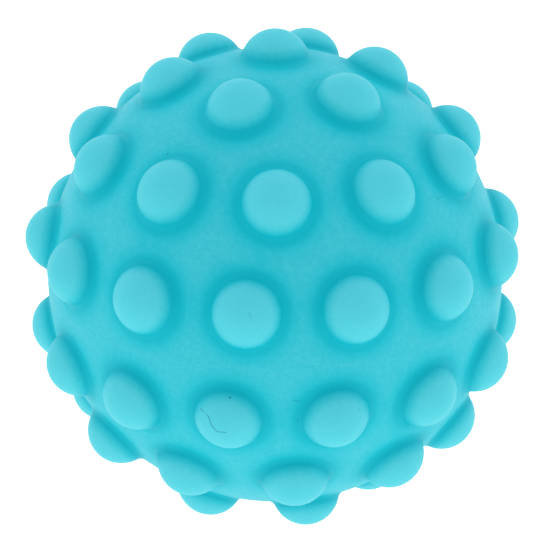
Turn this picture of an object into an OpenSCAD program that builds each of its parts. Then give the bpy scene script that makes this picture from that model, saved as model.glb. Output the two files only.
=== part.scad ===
// Nubbed stress ball: a moulded rubber skin in two halves, bonded around the middle and
// filled with a foam core. The centre of the ball is the origin and the poles lie on Z.

/* [Ball] */
// Diameter of the skin between the nubs
ball_d = 67.5; // [50:0.5:100]
// Thickness of the skin between the nubs
skin_t = 2.4; // [1.2:0.1:5]
// Thickness of the cement between the two rims
bond_t = 0.4; // [0.2:0.1:1]
// Clearance between the skin and the foam core
core_gap = 0.25; // [0.1:0.05:1]

/* [Nubs] */
// Diameter of a nub's round dome
nub_d = 10; // [6:0.1:13]
// Height of a nub above the skin
nub_h = 3.75; // [2:0.05:6]
// Width of the flare around a nub's foot
flare_w = 1.1; // [0.5:0.1:2]
// Height of the flare above the skin
flare_h = 0.9; // [0.4:0.1:1.5]

/* [Upper rows] */
// Nubs in the row beside the seam
upper_low_count = 14; // [8:1:18]
// Height of that row above the seam, in degrees
upper_low_lift = 12.6; // [12:0.1:16]
// Turn of that row about the poles, in degrees
upper_low_turn = -6.7; // [-30:0.1:30]
// Nubs in the middle row
upper_mid_count = 11; // [6:1:14]
// Height of the middle row above the seam, in degrees
upper_mid_lift = 37.9; // [34:0.1:42]
// Turn of the middle row about the poles, in degrees
upper_mid_turn = 0.4; // [-30:0.1:30]
// Nubs in the row beside the pole nub
upper_top_count = 6; // [3:1:8]
// Height of the top row above the seam, in degrees
upper_top_lift = 63.3; // [58:0.1:66]
// Turn of the top row about the poles, in degrees
upper_top_turn = -18.6; // [-60:0.1:60]

/* [Lower rows] */
// Nubs in the row beside the seam
lower_low_count = 14; // [8:1:18]
// Depth of that row below the seam, in degrees
lower_low_drop = 14; // [12:0.1:16]
// Turn of that row about the poles, in degrees
lower_low_turn = -11.2; // [-30:0.1:30]
// Nubs in the middle row
lower_mid_count = 11; // [6:1:14]
// Depth of the middle row below the seam, in degrees
lower_mid_drop = 36.5; // [34:0.1:42]
// Turn of the middle row about the poles, in degrees
lower_mid_turn = 5.8; // [-30:0.1:30]
// Nubs in the row beside the pole nub
lower_bottom_count = 6; // [3:1:8]
// Depth of the bottom row below the seam, in degrees
lower_bottom_drop = 63.5; // [58:0.1:66]
// Turn of the bottom row about the poles, in degrees
lower_bottom_turn = 17.9; // [-60:0.1:60]

/* [Hidden] */
$fn = 96;

ball_r = ball_d / 2;
cavity_r = ball_r - skin_t;
core_r = cavity_r - core_gap;
nub_r = nub_d / 2;
// Distance from the ball's centre to the centre of a nub's dome
dome_at = ball_r + nub_h - nub_r;
// Radius where a dome, centred dome_at out, crosses the height flare_h above the skin
flare_meet_r = sqrt(nub_r * nub_r - pow(ball_r + flare_h - dome_at, 2));
// The flare is a cone through that circle. It runs on down through this share of the skin, and up
// into the dome by this share of a nub's height.
root_share = 0.6;
tip_share = 0.2;
flare_slope = flare_w / flare_h;
flare_root = skin_t * root_share;
flare_tip = nub_h * tip_share;
flare_root_r = flare_meet_r + flare_slope * (flare_h + flare_root);
flare_tip_r = flare_meet_r - flare_slope * flare_tip;
// The blocks that cut the ball in half reach well past its nubs
reach = ball_d;
rim_z = bond_t / 2;

// Each row is [count, angle from the seam, turn about the poles]
upper_rows = [
    [upper_low_count, upper_low_lift, upper_low_turn],
    [upper_mid_count, upper_mid_lift, upper_mid_turn],
    [upper_top_count, upper_top_lift, upper_top_turn],
];
lower_rows = [
    [lower_low_count, lower_low_drop, lower_low_turn],
    [lower_mid_count, lower_mid_drop, lower_mid_turn],
    [lower_bottom_count, lower_bottom_drop, lower_bottom_turn],
];

// A nub at the +Z pole: a round dome on a flared foot that is rooted in the skin
module nub() {
    translate([0, 0, dome_at])
        sphere(r = nub_r);
    translate([0, 0, ball_r - flare_root])
        cylinder(h = flare_root + flare_h + flare_tip, r1 = flare_root_r, r2 = flare_tip_r);
}

// Where the nubs of one half stand: [angle from the seam, turn about the poles]
function nub_places(rows) = concat(
    [[90, 0]],
    [for (row = rows) for (i = [0 : row[0] - 1]) [row[1], row[2] + i * 360 / row[0]]]
);

// The ball with the first count nubs of the list, each grown onto the one before.
// A turn of 0 faces -Y, and sense says which way a positive turn goes.
module nubbed_ball(places, count, sense) {
    if (count == 0)
        rotate([0, 90, 0])
            sphere(r = ball_r);
    else
        union() {
            nubbed_ball(places, count - 1, sense);
            rotate([0, 0, sense * places[count - 1][1]])
                rotate([90 - places[count - 1][0], 0, 0])
                    nub();
        }
}

// Half of the skin on the +Z side, cut flat at its rim and hollow for the core. The
// spheres lie on their side, so that no pole of theirs comes under a nub.
module half_shell(rows, sense) {
    places = nub_places(rows);
    difference() {
        nubbed_ball(places, len(places), sense);
        rotate([0, 90, 0])
            sphere(r = cavity_r);
        translate([-reach, -reach, rim_z - 2 * reach])
            cube([2 * reach, 2 * reach, 2 * reach]);
    }
}

module upper_half_shell() {
    color([0.24, 0.76, 0.84])
        half_shell(upper_rows, 1);
}

module lower_half_shell() {
    color([0.22, 0.73, 0.81])
        rotate([0, 180, 0])
            half_shell(lower_rows, -1);
}

module seam_bond() {
    color([0.20, 0.69, 0.77])
        intersection() {
            difference() {
                sphere(r = ball_r);
                sphere(r = cavity_r);
            }
            translate([0, 0, -rim_z])
                cylinder(h = bond_t, r = reach);
        }
}

module foam_core() {
    color([0.93, 0.91, 0.82])
        sphere(r = core_r);
}

upper_half_shell();
lower_half_shell();
seam_bond();
foam_core();
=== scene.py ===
"""The looks of a nubbed stress ball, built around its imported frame. Metres, +Z through the poles."""

import math

import bmesh
import bpy
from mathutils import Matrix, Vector, noise
from mathutils.geometry import delaunay_2d_cdt


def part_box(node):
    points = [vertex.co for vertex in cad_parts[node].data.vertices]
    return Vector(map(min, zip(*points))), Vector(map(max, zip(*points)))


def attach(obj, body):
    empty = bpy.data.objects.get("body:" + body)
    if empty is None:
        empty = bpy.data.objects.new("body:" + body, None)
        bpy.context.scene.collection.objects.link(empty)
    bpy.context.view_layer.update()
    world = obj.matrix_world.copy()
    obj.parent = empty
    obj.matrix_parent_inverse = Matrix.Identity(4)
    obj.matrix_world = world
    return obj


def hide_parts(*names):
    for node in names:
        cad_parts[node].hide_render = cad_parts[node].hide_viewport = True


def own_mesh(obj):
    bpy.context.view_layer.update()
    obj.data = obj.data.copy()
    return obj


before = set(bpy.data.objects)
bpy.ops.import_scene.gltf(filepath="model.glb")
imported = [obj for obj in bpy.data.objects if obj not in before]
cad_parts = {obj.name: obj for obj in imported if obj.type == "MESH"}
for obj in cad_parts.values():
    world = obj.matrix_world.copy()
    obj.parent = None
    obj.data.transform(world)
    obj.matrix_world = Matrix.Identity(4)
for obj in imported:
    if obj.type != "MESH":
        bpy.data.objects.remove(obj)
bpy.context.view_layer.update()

MM = 0.001

# ---------------------------------------------------------------- sizes, from the frame
BALL_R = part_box("seam_bond")[1].x
RIM_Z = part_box("seam_bond")[1].z
TOP_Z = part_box("upper_half_shell")[1].z
BASE_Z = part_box("lower_half_shell")[0].z
CORE_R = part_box("foam_core")[1].x
CORE_GAP = 0.25 * MM
CAVITY_R = CORE_R + CORE_GAP

# A nub is a round dome that runs into the skin through a hollow fillet.
DOME_R = 5.0 * MM
DOME_AT = TOP_Z - DOME_R
FILLET_R = 1.25 * MM
# Hand-made moulds give each nub a slightly different shape: by this share, and this unlike its neighbours
NUB_VARIETY = 0.07
NUB_NOISE = 5.3
TALLER_SHIFT = Vector((11.3, 5.1, 2.7))

# Soft rubber is never quite round: a slow swell and a finer one, each a noise frequency and a height
SLOW_SWELL = (38, 0.16 * MM)
FINE_SWELL = (95, 0.05 * MM)
FINE_SHIFT = Vector((7, 3, 1))
# The cement stands a hair proud of the skin outside, and in an uneven bead inside
CEMENT_CROWN = 0.012 * MM
BEAD = 0.12 * MM
BEAD_VARIETY = 0.06 * MM
BEAD_NOISE = 9
# The foam's coarse and fine pits, each a noise frequency and a depth
COARSE_PITS = (22, 0.25 * MM)
FINE_PITS = (47, 0.15 * MM)

# ---------------------------------------------------------------- where the rubber's colour changes, and its painted shade and light
# How far the painted shade in a nub's foot spreads over the skin
FOOT_SHADE_REACH = 1.65 * MM
# How dark a pole nub's painted foot shade is, next to any other nub's
POLE_FOOT_SHADE = 0.45
# How far from a dome's edge the skin takes to reach the paler colour painted on open skin: painted shade near
# the nubs, painted light away from them
OPEN_LIGHT_REACH = 3.8 * MM
# The shares of a nub's height over which the foot's painted shade ends and the crown's painted light begins
FOOT_SHADE_ENDS = (0.14, 0.32)
CROWN_LIGHT_BEGINS = (0.12, 0.65)

# ---------------------------------------------------------------- how fine the meshes are
RIM_STEPS = 240
NUB_STEPS = 56
DOME_RINGS = 16
FILLET_RINGS = 7
SKIN_POINT_GAP = 1.15 * MM
FOOT_RINGS = 4
INNER_RINGS = 26
CEMENT_POINTS = 10
# Points laid flat this close together count as one
SAME_POINT = 1e-7
# Points of the skin keep this many gaps away from the rim and from a foot's rings
RIM_MARGIN = 0.7
FOOT_MARGIN = 0.6
SHARP_EDGE = math.radians(50)


# A CAD vertex this close to the tips' height is on a tip, and two tips are this far apart at least.
TIP_TOLERANCE = 0.004 * MM
TIPS_APART = 0.1


def nub_axes(node):
    """The direction of every nub of a CAD half shell: where its mesh reaches the tips."""
    axes = []
    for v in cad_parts[node].data.vertices:
        if v.co.length > TOP_Z - TIP_TOLERANCE and all(v.co.angle(a) > TIPS_APART for a in axes):
            axes.append(v.co.normalized())
    return axes


def fillet_centre():
    """Where the fillet's circle touches both the ball and a dome: (distance off the nub's axis, height)."""
    to_ball = BALL_R + FILLET_R
    to_dome = DOME_R + FILLET_R
    height = (to_ball**2 - to_dome**2 + DOME_AT**2) / (2 * DOME_AT)
    return math.sqrt(to_ball**2 - height**2), height


def nub_profile():
    """Points from the foot of a nub to just short of its tip: (distance off its axis, height)."""
    off, height = fillet_centre()
    foot = math.atan2(-off, -height)
    neck = math.atan2(-off, DOME_AT - height)
    points = []
    for i in range(FILLET_RINGS):
        turn = foot + (neck - foot) * i / FILLET_RINGS
        points.append((off + FILLET_R * math.sin(turn), height + FILLET_R * math.cos(turn)))
    side = math.atan2(off, height - DOME_AT)
    for i in range(DOME_RINGS):
        turn = side * (1 - i / DOME_RINGS)
        points.append((DOME_R * math.sin(turn), DOME_AT + DOME_R * math.cos(turn)))
    return points


def across(axis):
    """Two directions at right angles to axis and to each other."""
    side = axis.cross(Vector((0, 0, 1)) if abs(axis.z) < 0.9 else Vector((1, 0, 0))).normalized()
    return side, axis.cross(side)


def softened(point):
    """A point of the ball as it is on real, soft rubber: a very slight, slow unevenness."""
    slow = noise.noise(point * SLOW_SWELL[0]) * SLOW_SWELL[1]
    fine = noise.noise(point * FINE_SWELL[0] + FINE_SHIFT) * FINE_SWELL[1]
    return point + point.normalized() * (slow + fine)


def flat_place(direction, up):
    """A direction laid flat around a half's pole, at its true angle from the pole."""
    angle = math.acos(max(-1, min(1, direction.z * up)))
    turn = math.atan2(direction.y, direction.x)
    return Vector((angle * math.cos(turn), angle * math.sin(turn)))


def spread(count, up):
    """Evenly spread directions over a half, in a spiral from its pole."""
    golden = math.pi * (3 - math.sqrt(5))
    for i in range(count):
        z = 1 - (i + 0.5) / count
        r = math.sqrt(1 - z * z)
        yield Vector((r * math.cos(golden * i), r * math.sin(golden * i), z * up))


def outer_skin(node, up):
    """A half's outside, rim loop first: its vertices, its faces, and three shares from 0 to 1 for each
    vertex: how deep in a nub's foot (for painted shade), how high on a nub's crown (for painted light), and
    how far out on open skin (painted paler, out of the nubs' shade) it is."""
    profile = nub_profile()
    foot_angle = math.atan2(profile[0][0], profile[0][1])
    rim_angle = math.asin(RIM_Z / BALL_R)
    axes = nub_axes(node)

    directions = []
    for i in range(RIM_STEPS):
        turn = 2 * math.pi * i / RIM_STEPS
        level = math.cos(rim_angle)
        directions.append(Vector((level * math.cos(turn), level * math.sin(turn), up * math.sin(rim_angle))))
    loops = []
    for axis in axes:
        loops.append(range(len(directions), len(directions) + NUB_STEPS))
        directions += ring_around(axis, foot_angle, 0)
    gap = SKIN_POINT_GAP / BALL_R
    reach = (DOME_R + FOOT_SHADE_REACH) / BALL_R - foot_angle
    lowest = math.sin(rim_angle + gap * RIM_MARGIN)
    clear = foot_angle + reach + gap * FOOT_MARGIN
    for axis in axes:
        for k in range(1, FOOT_RINGS + 1):
            for d in ring_around(axis, foot_angle + reach * k / FOOT_RINGS, k % 2 / 2):
                if d.z * up > lowest and d.angle(axis) < 1.001 * min(d.angle(a) for a in axes):
                    directions.append(d)
    for d in spread(int(2 * math.pi / gap**2), up):
        if d.z * up > lowest and all(d.angle(a) > clear for a in axes):
            directions.append(d)

    edges = [(i, (i + 1) % RIM_STEPS) for i in range(RIM_STEPS)]
    for loop in loops:
        edges += [(loop[i], loop[(i + 1) % NUB_STEPS]) for i in range(NUB_STEPS)]
    flat = [flat_place(d, up) for d in directions]
    triangles = delaunay_2d_cdt(flat, edges, [], 0, SAME_POINT, True)[2]
    owner = {i: n for n, loop in enumerate(loops) for i in loop}
    faces = []
    for t in triangles:
        homes = {owner.get(i, -1) for i in t}
        if len(homes) > 1 or -1 in homes:
            faces.append(tuple(t) if up > 0 else tuple(reversed(t)))

    verts = [d * BALL_R for d in directions]
    nearest = [min(axes, key=d.angle) for d in directions]
    offs = [d.angle(axis) * BALL_R for d, axis in zip(directions, nearest)]
    # painted shade: each vertex's share of the darker colour painted into the nubs' feet, where their shade
    # falls
    foot = [foot_shade_share(off) * foot_shade_depth(axis) for off, axis in zip(offs, nearest)]
    # painted shade and light: skin next to a dome stays darker, open skin further out is painted paler
    open_skin_light = [ramp(off - DOME_R, 0, OPEN_LIGHT_REACH) for off in offs]
    crown = [0.0] * len(verts)
    for axis, loop in zip(axes, loops):
        side, other = across(axis)
        ring = list(loop)
        wider = noise.noise(axis * NUB_NOISE) * NUB_VARIETY
        taller = noise.noise(axis * NUB_NOISE + TALLER_SHIFT) * NUB_VARIETY
        for off, height in profile[1:]:
            start = len(verts)
            above = (math.hypot(off, height) - BALL_R) / (TOP_Z - BALL_R)
            wide, tall = 1 + wider * above, 1 + taller * above
            for i in range(NUB_STEPS):
                turn = 2 * math.pi * i / NUB_STEPS
                around = side * math.cos(turn) * wide + other * math.sin(turn) * tall
                verts.append(axis * height + around * off)
            # painted shade in the foot, fading out up the dome's side
            deep = foot_shade_share(off) * foot_shade_depth(axis)
            foot += [deep * (1 - ramp(above, *FOOT_SHADE_ENDS))] * NUB_STEPS
            # painted light: the crown turns paler towards the tip, as if lit
            crown += [ramp(above, *CROWN_LIGHT_BEGINS)] * NUB_STEPS
            upper = list(range(start, start + NUB_STEPS))
            faces += bridge(ring, upper)
            ring = upper
        verts.append(axis * TOP_Z)
        foot.append(0.0)
        crown.append(1.0)
        faces += [(ring[i], ring[(i + 1) % NUB_STEPS], len(verts) - 1) for i in range(NUB_STEPS)]
    return verts, faces, {"foot": foot, "crown": crown, "open_skin_light": open_skin_light}


def ring_around(axis, angle, stagger):
    """Directions in a circle at this angle from an axis, shifted round by a share of their spacing."""
    side, other = across(axis)
    ring = []
    for i in range(NUB_STEPS):
        turn = 2 * math.pi * (i + stagger) / NUB_STEPS
        around = side * math.cos(turn) + other * math.sin(turn)
        ring.append(axis * math.cos(angle) + around * math.sin(angle))
    return ring


def ramp(value, low, high):
    """0 below low, 1 above high, and a smooth rise between them."""
    t = max(0.0, min(1.0, (value - low) / (high - low)))
    return t * t * (3 - 2 * t)


def foot_shade_share(off):
    """How deep in a nub's foot, where its shade is painted, a point this far off the nub's axis is: 1 at the
    dome's edge.
    """
    return 1 - ramp(off - DOME_R, 0, FOOT_SHADE_REACH)


def foot_shade_depth(axis):
    """How dark the painted shade in a nub's foot is: a pole nub stands alone and faces the light from above
    or the lit floor, so its foot gets paler painted shade.
    """
    return POLE_FOOT_SHADE if abs(axis.z) > 0.99 else 1.0


def bridge(lower, upper):
    """Four-sided faces between two loops of the same length."""
    n = len(lower)
    return [(lower[i], lower[(i + 1) % n], upper[(i + 1) % n], upper[i]) for i in range(n)]


def half_skin(name, node, up):
    """One half of the rubber skin: outside with its nubs, flat rim and smooth inside, as one closed mesh."""
    verts, faces, shares = outer_skin(node, up)
    verts = [softened(v) for v in verts]
    ring = list(range(RIM_STEPS))
    rim_angle = math.asin(RIM_Z / CAVITY_R)
    for k in range(INNER_RINGS):
        angle = rim_angle + (math.pi / 2 - rim_angle) * k / INNER_RINGS
        start = len(verts)
        for i in range(RIM_STEPS):
            turn = 2 * math.pi * i / RIM_STEPS
            level = CAVITY_R * math.cos(angle)
            height = up * CAVITY_R * math.sin(angle)
            verts.append(Vector((level * math.cos(turn), level * math.sin(turn), height)))
        inner = list(range(start, start + RIM_STEPS))
        faces += bridge(inner, ring) if up > 0 else bridge(ring, inner)
        ring = inner
    verts.append(Vector((0, 0, up * CAVITY_R)))
    last = len(verts) - 1
    for i in range(RIM_STEPS):
        a, b = ring[i], ring[(i + 1) % RIM_STEPS]
        faces.append((b, a, last) if up > 0 else (a, b, last))
    # The rim stays flat and at its own height, whatever the softening did to its edge.
    for i in range(RIM_STEPS):
        verts[i].z = up * RIM_Z
    piece = mesh_piece(name, verts, faces)
    for share, values in shares.items():
        mark(piece, share, values)
    return piece


def mark(piece, name, values):
    """Stores one number for each of the piece's first vertices, for its material to read; the rest get 0."""
    layer = piece.data.attributes.new(name, "FLOAT", "POINT")
    rest = len(piece.data.vertices) - len(values)
    layer.data.foreach_set("value", list(values) + [0.0] * rest)


def mesh_piece(name, verts, faces):
    mesh = bpy.data.meshes.new(name)
    mesh.from_pydata([tuple(v) for v in verts], [], faces)
    mesh.validate()
    mesh.shade_smooth()
    mesh.set_sharp_from_angle(angle=SHARP_EDGE)
    rest = mesh.attributes.new("rest", "FLOAT_VECTOR", "POINT")
    rest.data.foreach_set("vector", [x for v in mesh.vertices for x in v.co])
    piece = bpy.data.objects.new(name, mesh)
    bpy.context.scene.collection.objects.link(piece)
    return piece


def seam_ring():
    """The cured cement: flush outside, with a soft bead squeezed out into the hollow."""
    verts, faces = [], []
    heights = [RIM_Z * (1 - 2 * k / (CEMENT_POINTS - 1)) for k in range(CEMENT_POINTS)]
    for i in range(RIM_STEPS):
        turn = 2 * math.pi * i / RIM_STEPS
        out = Vector((math.cos(turn), math.sin(turn), 0))
        skin = softened(out * BALL_R).length
        bead = BEAD + BEAD_VARIETY * noise.noise(out * BEAD_NOISE)
        for z in heights:
            verts.append(out * (skin + CEMENT_CROWN * (1 - (z / RIM_Z) ** 2)) + Vector((0, 0, z)))
        for z in reversed(heights):
            verts.append(out * (CAVITY_R - bead * (1 - (z / RIM_Z) ** 2)) + Vector((0, 0, z)))
    around = 2 * CEMENT_POINTS
    for i in range(RIM_STEPS):
        a = i * around
        b = (i + 1) % RIM_STEPS * around
        for k in range(around):
            m = (k + 1) % around
            faces.append((a + k, a + m, b + m, b + k))
    return mesh_piece("seam_bond_bead", verts, faces)


def foam_ball():
    """The foam core: a ball with the pitted outside of open-cell foam."""
    bm = bmesh.new()
    bmesh.ops.create_icosphere(bm, subdivisions=6, radius=1)
    verts = []
    for v in bm.verts:
        pit = sum(abs(noise.noise(v.co * often)) * depth for often, depth in (COARSE_PITS, FINE_PITS))
        verts.append(v.co.normalized() * (CORE_R - pit))
    faces = [tuple(v.index for v in f.verts) for f in bm.faces]
    bm.free()
    return mesh_piece("foam_core_cells", verts, faces)


# ---------------------------------------------------------------- materials
class Shader:
    """A material's node tree, with short calls to add and join nodes."""

    def __init__(self, name):
        self.material = bpy.data.materials.new(name)
        self.material.use_nodes = True
        self.tree = self.material.node_tree
        self.surface = self.tree.nodes["Principled BSDF"]
        # Each vertex's place at rest, so that nothing slides over a piece when it is squeezed
        self.coords = self.node("ShaderNodeAttribute", attribute_name="rest").outputs["Vector"]

    def node(self, kind, **values):
        made = self.tree.nodes.new(kind)
        for key, value in values.items():
            if key in made.inputs:
                self.feed(made.inputs[key], value)
            else:
                setattr(made, key, value)
        return made

    def feed(self, socket, value):
        if isinstance(value, bpy.types.NodeSocket):
            self.tree.links.new(value, socket)
        else:
            socket.default_value = value

    def noise(self, size, detail=2.0, roughness=0.5, coords=None):
        """Noise whose features are about size metres wide, from 0 to 1."""
        made = self.node("ShaderNodeTexNoise", Scale=1 / size, Detail=detail, Roughness=roughness)
        self.feed(made.inputs["Vector"], coords or self.coords)
        return made.outputs["Fac"]

    def attribute(self, name):
        """A number that the mesh carries at each vertex."""
        return self.node("ShaderNodeAttribute", attribute_name=name).outputs["Fac"]

    def math(self, operation, a, b=0.0, clamp=False):
        made = self.node("ShaderNodeMath", operation=operation, use_clamp=clamp)
        self.feed(made.inputs[0], a)
        self.feed(made.inputs[1], b)
        return made.outputs[0]

    def span(self, value, low, high, to_low=0.0, to_high=1.0):
        made = self.node("ShaderNodeMapRange", clamp=True, interpolation_type="SMOOTHSTEP")
        for key, number in (("From Min", low), ("From Max", high), ("To Min", to_low), ("To Max", to_high)):
            made.inputs[key].default_value = number
        self.feed(made.inputs["Value"], value)
        return made.outputs["Result"]

    def mix(self, fac, a, b):
        made = self.node("ShaderNodeMix", data_type="RGBA")
        self.feed(made.inputs["Factor"], fac)
        self.feed(made.inputs["A"], a)
        self.feed(made.inputs["B"], b)
        return made.outputs["Result"]

    def bump(self, height, depth, strength=1.0, normal=None):
        made = self.node("ShaderNodeBump", Strength=strength, Distance=depth)
        self.feed(made.inputs["Height"], height)
        if normal is not None:
            self.feed(made.inputs["Normal"], normal)
        return made.outputs["Normal"]

    def stroke(self, points, width, coords):
        """A line of this width through the points: 1 on it, 0 off it. A single point makes a speck."""
        mask = 0.0
        for a, b in zip(points, points[1:] or points):
            along = b - a
            off = self.node("ShaderNodeVectorMath", operation="SUBTRACT")
            self.feed(off.inputs[0], coords)
            off.inputs[1].default_value = a
            share = self.node("ShaderNodeVectorMath", operation="DOT_PRODUCT")
            self.feed(share.inputs[0], off.outputs["Vector"])
            share.inputs[1].default_value = along / max(along.length_squared, 1e-12)
            nearest = self.node("ShaderNodeVectorMath", operation="SCALE")
            nearest.inputs[0].default_value = along
            self.feed(nearest.inputs["Scale"], self.math("MULTIPLY", share.outputs["Value"], 1.0, clamp=True))
            gap = self.node("ShaderNodeVectorMath", operation="DISTANCE")
            self.feed(gap.inputs[0], off.outputs["Vector"])
            self.feed(gap.inputs[1], nearest.outputs["Vector"])
            mask = self.math("MAXIMUM", mask, self.span(gap.outputs["Value"], width * 0.2, width, 1.0, 0.0))
        return mask

    def set(self, **values):
        for key, value in values.items():
            self.feed(self.surface.inputs[key.replace("_", " ")], value)


# Fresh rubber in its two cloudy shades, then open skin painted paler out of the nubs' shade, a darker colour
# for the painted shade in a nub's foot and for specks, a nub's crown painted paler as if lit, and a crack
RUBBER = (0.000, 0.478, 0.588, 1)
RUBBER_PALE = (0.006, 0.492, 0.600, 1)
RUBBER_OPEN_LIGHT = (0.048, 0.516, 0.630, 1)
RUBBER_SHADE_AND_SPECK = (0.000, 0.422, 0.530, 1)
RUBBER_CROWN_LIGHT = (0.078, 0.562, 0.666, 1)
RUBBER_CRACKED = (0.000, 0.120, 0.170, 1)
# A specular level this low keeps the rubber matte
RUBBER_GLOSS = 0.10
# How strongly the finest specks take the deep colour
SPECKLE = 0.38
# How far the cement takes the paler colour painted on open skin, to go with the skin beside it
CEMENT_OPEN_LIGHT = 0.85
# How far the wear marks wander off their straight lines
WEAR_SHAKE = 0.25 * MM
# How deep a crack is, next to the rubber's grain
WEAR_DEPTH = 4.0

FOAM_PORE = (0.55, 0.50, 0.36, 1)
FOAM_WALL = (0.86, 0.82, 0.68, 1)


def direction(lift, turn):
    """Where a point stands on the ball, in degrees: above the seam, and round from the front to the right."""
    lift, turn = math.radians(lift), math.radians(turn)
    return Vector((math.cos(lift) * math.sin(turn), -math.cos(lift) * math.cos(turn), math.sin(lift)))


def on_skin(*places, rise=0.0):
    """Points of the skin, or this far above it, each given by its lift and turn in degrees."""
    return [direction(lift, turn) * (BALL_R + rise) for lift, turn in places]


def on_nub(lift, turn, *offsets):
    """Points of the dome of the nub nearest to a direction, each given by its millimetres to the right of
    the tip and above it."""
    axes = nub_axes("upper_half_shell") + nub_axes("lower_half_shell")
    axis = min(axes, key=direction(lift, turn).angle)
    right = Vector((0, 0, 1)).cross(axis).normalized()
    above = axis.cross(right)
    points = []
    for x, y in offsets:
        x, y = x * MM, y * MM
        height = DOME_AT + math.sqrt(DOME_R**2 - x * x - y * y)
        points.append(axis * height + right * x + above * y)
    return points


def wear_marks():
    """The cracks, nicks and specks of a used ball, each a line of points, its width and how dark it is."""
    return (
        (on_nub(-14, -11, (-3.3, 2.5), (-2.0, 2.2), (-1.6, 1.3), (-0.8, 0.5), (0.5, 0.5)), 0.13 * MM, 0.55),
        (on_nub(-14, -11, (0.7, 4.4)), 0.26 * MM, 0.6),
        (on_nub(13, -7, (0.8, 0.8), (1.1, 0.1)), 0.15 * MM, 0.2),
        (on_nub(-14, 15, (2.4, 2.6)), 0.20 * MM, 0.35),
        (on_skin((33.5, 51.0), (32.4, 52.4), (32.6, 54.2)), 0.16 * MM, 0.35),
        (on_skin((32.4, 52.4), (32.3, 50.9)), 0.14 * MM, 0.3),
        (on_skin((47, -39.6)), 0.24 * MM, 0.6),
        (on_skin((-8.6, 4.0), (-8.7, 5.6)), 0.18 * MM, 0.3),
        (on_skin((-13.4, 5.3), (-14.3, 5.3), rise=0.3 * MM), 0.30 * MM, 0.5),
    )


def rubber_skin():
    """Matte moulded rubber: cloudy colour, with painted shade in the nubs' feet and next to them, and painted
    light on their crowns.
    """
    s = Shader("soft_touch_rubber")
    cloud = s.noise(9 * MM, 3)
    mottle = s.noise(0.8 * MM, 3)
    fine = s.noise(0.4 * MM, 3)
    grain = s.noise(0.2 * MM, 2)
    colour = s.mix(s.span(cloud, 0.35, 0.65), RUBBER, RUBBER_PALE)
    # painted shade and light: open skin away from the nubs is painted paler, skin next to them darker
    colour = s.mix(s.attribute("open_skin_light"), colour, RUBBER_OPEN_LIGHT)
    # painted shade: the nubs' feet take a darker colour where shade falls
    colour = s.mix(s.attribute("foot"), colour, RUBBER_SHADE_AND_SPECK)
    # painted light: the nubs' crowns are painted paler, as if lit
    colour = s.mix(s.attribute("crown"), colour, RUBBER_CROWN_LIGHT)
    speckle = s.span(s.math("ADD", mottle, grain), 0.7, 1.3, 0.0, SPECKLE)
    speckle = s.math("MULTIPLY", speckle, s.span(s.attribute("crown"), 0.0, 1.0, 1.0, 0.25))
    colour = s.mix(speckle, colour, RUBBER_SHADE_AND_SPECK)

    shaky = s.node("ShaderNodeTexNoise", Scale=1 / (0.9 * MM), Detail=2.0)
    s.feed(shaky.inputs["Vector"], s.coords)
    shake = s.node("ShaderNodeVectorMath", operation="MULTIPLY_ADD")
    s.feed(shake.inputs[0], shaky.outputs["Color"])
    shake.inputs[1].default_value = [WEAR_SHAKE] * 3
    s.feed(shake.inputs[2], s.coords)
    worn = 0.0
    for points, width, darkness in wear_marks():
        shaken = [p + Vector([WEAR_SHAKE / 2] * 3) for p in points]
        line = s.math("MULTIPLY", s.stroke(shaken, width, shake.outputs["Vector"]), darkness)
        worn = s.math("MAXIMUM", worn, line)
    colour = s.mix(worn, colour, RUBBER_CRACKED)

    relief = s.math("ADD", fine, grain)
    relief = s.math("SUBTRACT", relief, s.math("MULTIPLY", worn, WEAR_DEPTH))
    s.set(
        Base_Color=colour,
        Roughness=s.span(fine, 0.2, 0.8, 0.46, 0.60),
        Specular_IOR_Level=RUBBER_GLOSS,
        Normal=s.bump(relief, 0.025 * MM, 0.6),
    )
    return s.material


def cured_cement():
    s = Shader("cured_cement")
    colour = s.mix(s.noise(1.5 * MM, 2), RUBBER, RUBBER_PALE)
    # painted light: the cement takes the paler colour painted on open skin
    colour = s.mix(CEMENT_OPEN_LIGHT, colour, RUBBER_OPEN_LIGHT)
    colour = s.mix(s.span(s.noise(0.4 * MM, 3), 0.35, 0.65, 0.0, SPECKLE), colour, RUBBER_SHADE_AND_SPECK)
    s.set(Base_Color=colour, Roughness=0.53, Specular_IOR_Level=RUBBER_GLOSS)
    return s.material


def foam_cells():
    s = Shader("open_cell_foam")
    cells = s.node("ShaderNodeTexVoronoi", feature="F1", Scale=1 / (0.7 * MM))
    s.feed(cells.inputs["Vector"], s.coords)
    depth = cells.outputs["Distance"]
    s.set(
        Base_Color=s.mix(s.span(depth, 0.1, 0.6), FOAM_PORE, FOAM_WALL),
        Roughness=0.9,
        Normal=s.bump(depth, 0.2 * MM, 0.8),
    )
    return s.material


# ---------------------------------------------------------------- the pieces
def build_ball():
    rubber = rubber_skin()
    upper = half_skin("upper_skin", "upper_half_shell", 1)
    lower = half_skin("lower_skin", "lower_half_shell", -1)
    seam = seam_ring()
    foam = foam_ball()
    rows = (
        (upper, "upper_half_shell", "upper_body", "skin", rubber, TOP_Z),
        (lower, "lower_half_shell", "lower_body", "skin", rubber, BASE_Z),
        (seam, "seam_bond", "lower_body", "bond", cured_cement(), BASE_Z),
        (foam, "foam_core", "lower_body", "foam", foam_cells(), BASE_Z),
    )
    for piece, node, body, slot, material, held in rows:
        piece.data.materials.append(material)
        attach(piece, body)
        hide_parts(node)
        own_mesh(piece)


# ---------------------------------------------------------------- floor, light and camera
FLOOR_SIZE = 4


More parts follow.
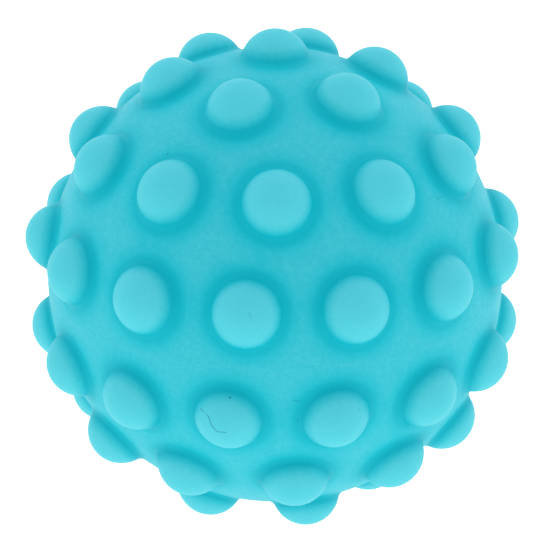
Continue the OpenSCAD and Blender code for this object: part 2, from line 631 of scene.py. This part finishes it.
def build_stage():
    """A light table: a pale floor with a slightly warm glow, so that the ball is lit from below as well."""
    bpy.ops.mesh.primitive_plane_add(size=FLOOR_SIZE, location=(0, 0, BASE_Z))
    floor = bpy.context.object
    floor.name = "floor"
    glass = Shader("light_table")
    glass.set(
        Base_Color=(0.30, 0.30, 0.30, 1),
        Roughness=0.9,
        Specular_IOR_Level=0.1,
        Emission_Color=(1.0, 0.97, 0.92, 1),
        Emission_Strength=1.15,
    )
    floor.data.materials.append(glass.material)


# The light tent's brightness: at the zenith, around the sides, and in the mouth that the camera
# looks through, whose edge runs from MOUTH_INNER to MOUTH_OUTER off the camera's line.
TENT_TOP = 1.42
TENT_SIDE = 1.2
TENT_MOUTH = 0.80
MOUTH_INNER = math.radians(30)
MOUTH_OUTER = math.radians(85)


def build_light():
    """A white light tent around the ball, open and dark on the camera's side."""
    scene = bpy.context.scene
    scene.view_settings.view_transform = "Standard"
    world = bpy.data.worlds.new("light_tent")
    world.use_nodes = True
    scene.world = world
    tree = world.node_tree
    background = tree.nodes["Background"]
    background.inputs["Color"].default_value = (1, 1, 1, 1)

    def add(kind, **settings):
        made = tree.nodes.new(kind)
        for key, value in settings.items():
            setattr(made, key, value)
        return made

    def span(value, low, high, to_low, to_high):
        made = add("ShaderNodeMapRange", interpolation_type="SMOOTHSTEP")
        for key, number in (("From Min", low), ("From Max", high)):
            made.inputs[key].default_value = number
        for key, number in (("To Min", to_low), ("To Max", to_high)):
            if isinstance(number, bpy.types.NodeSocket):
                tree.links.new(number, made.inputs[key])
            else:
                made.inputs[key].default_value = number
        tree.links.new(value, made.inputs["Value"])
        return made.outputs["Result"]

    towards = add("ShaderNodeTexCoord").outputs["Generated"]
    split = add("ShaderNodeSeparateXYZ")
    tree.links.new(towards, split.inputs["Vector"])
    tent = span(split.outputs["Z"], 0.0, 1.0, TENT_SIDE, TENT_TOP)
    facing = add("ShaderNodeVectorMath", operation="DOT_PRODUCT")
    tree.links.new(towards, facing.inputs[0])
    facing.inputs[1].default_value = camera_back()
    tent = span(facing.outputs["Value"], math.cos(MOUTH_OUTER), math.cos(MOUTH_INNER), tent, TENT_MOUTH)
    seen = add("ShaderNodeLightPath").outputs["Is Camera Ray"]
    tree.links.new(span(seen, 0, 1, tent, 1.0), background.inputs["Strength"])


CAMERA_LIFT = math.radians(21.8)
CAMERA_AWAY = 8.69 * BALL_R
# The share of the picture's width that the ball takes up between its nubs
BALL_SHARE = 0.821
SENSOR_WIDTH = 36


def camera_back():
    """The direction from the ball to the camera."""
    return Vector((0, -math.cos(CAMERA_LIFT), math.sin(CAMERA_LIFT)))


def build_camera():
    lens = bpy.data.cameras.new("camera")
    lens.sensor_width = SENSOR_WIDTH
    lens.lens = SENSOR_WIDTH * BALL_SHARE * CAMERA_AWAY / (2 * BALL_R)
    lens.shift_x = -0.0005
    lens.shift_y = -0.0022
    camera = bpy.data.objects.new("camera", lens)
    camera.location = camera_back() * CAMERA_AWAY
    camera.rotation_euler = (-camera_back()).to_track_quat("-Z", "Y").to_euler()
    bpy.context.scene.collection.objects.link(camera)
    bpy.context.scene.camera = camera


build_camera()
build_ball()
build_stage()
build_light()
